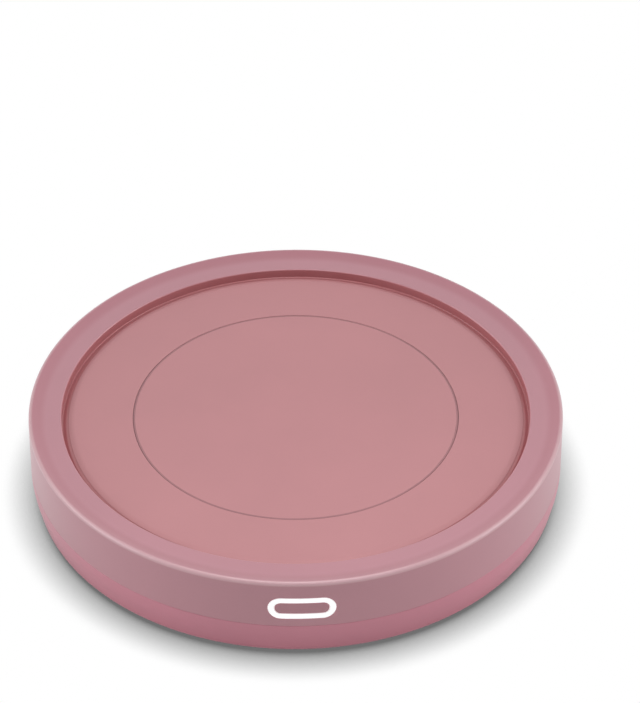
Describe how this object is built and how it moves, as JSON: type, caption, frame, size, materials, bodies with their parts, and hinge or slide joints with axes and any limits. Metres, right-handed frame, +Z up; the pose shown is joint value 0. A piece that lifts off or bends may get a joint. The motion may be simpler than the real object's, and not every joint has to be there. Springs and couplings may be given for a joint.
{
  "type": "electric mug warmer",
  "caption": "Low round desk warmer with a sprung warm plate that sinks under a mug, a drip channel and raised lip, a lit push button in front and a power socket behind.",
  "frame": {"origin": "middle of the plane that the rubber feet stand on, under the middle of the warm plate", "axes": "+Z up, front with the lit button towards -Y, power socket towards +Y, +X to the right seen from the front"},
  "size_m": [0.13, 0.13, 0.023],
  "materials": {
    "cover_pink": "satin dusty pink, faintly glossy",
    "base_pink": "satin, a little deeper pink",
    "deck_pink": "fine matt",
    "plate_coating": "pink heat-resistant coating, fine matt",
    "seal_silicone": "matt grey silicone",
    "light_diffuser": "translucent white, lit from behind",
    "lamp": "clear lamp body",
    "foot_rubber": "matt dark rubber",
    "screw_steel": "zinc plated",
    "spring_steel": "bright spring wire",
    "heater_foil": "amber film with etched foil",
    "felt": "heat-resistant felt",
    "inner_plastic": "natural moulded",
    "component_black": "black moulded",
    "component_metal": "bare can",
    "board_green": "coated laminate",
    "lead_rubber": "insulated flat lead",
    "contact_brass": "plated contact"
  },
  "bodies": {
    "housing": {"base_cover": "base_pink", "top_cover": "cover_pink", "deck_panel": "deck_pink", "rubber_feet": "foot_rubber", "housing_screws": "screw_steel", "return_spring": "spring_steel", "light_ring": "light_diffuser", "button_switch": "component_black", "button_leds": "lamp", "button_board": "board_green", "board_header": "component_black", "circuit_board": "board_green", "weight_switch": "component_black", "control_chip": "component_black", "power_transistor": "component_black", "choke": "component_black", "capacitor": "component_metal", "power_connector": "inner_plastic", "heater_connector": "inner_plastic", "power_leads": "lead_rubber", "heater_leads": "lead_rubber", "dc_socket": "component_black", "socket_pin": "contact_brass", "socket_terminals": "contact_brass"},
    "plate": {"warm_plate": "plate_coating", "plate_seal": "seal_silicone", "heater_film": "heater_foil", "insulation_disc": "felt", "temperature_sensor": "component_black", "thermal_fuse": "component_metal", "plate_carrier": "inner_plastic"},
    "weight_plunger": {"weight_plunger": "inner_plastic"},
    "button": {"power_button": "cover_pink"},
    "button_plunger": {"button_plunger": "inner_plastic"}
  },
  "joints": [
    {"name": "plate_press", "type": "slide", "parent": "housing", "child": "plate", "axis": [0, 0, -1], "range_m": [0, 0.001], "stiffness_N_per_m": 1500, "springref_m": -0.001, "deforming": ["return_spring", "heater_leads"]},
    {"name": "weight_plunger_press", "type": "slide", "parent": "housing", "child": "weight_plunger", "axis": [0, 0, -1], "range_m": [0, 0.001]},
    {"name": "button_press", "type": "slide", "parent": "housing", "child": "button", "axis": [0, 1, 0], "range_m": [0, 0.0005], "stiffness_N_per_m": 800, "springref_m": -0.0005},
    {"name": "button_plunger_press", "type": "slide", "parent": "housing", "child": "button_plunger", "axis": [0, 1, 0], "range_m": [0, 0.0005]}
  ],
  "couplings": [
    {"joint": "weight_plunger_press", "follows": "plate_press", "ratio": 1},
    {"joint": "button_plunger_press", "follows": "button_press", "ratio": 1}
  ]
}
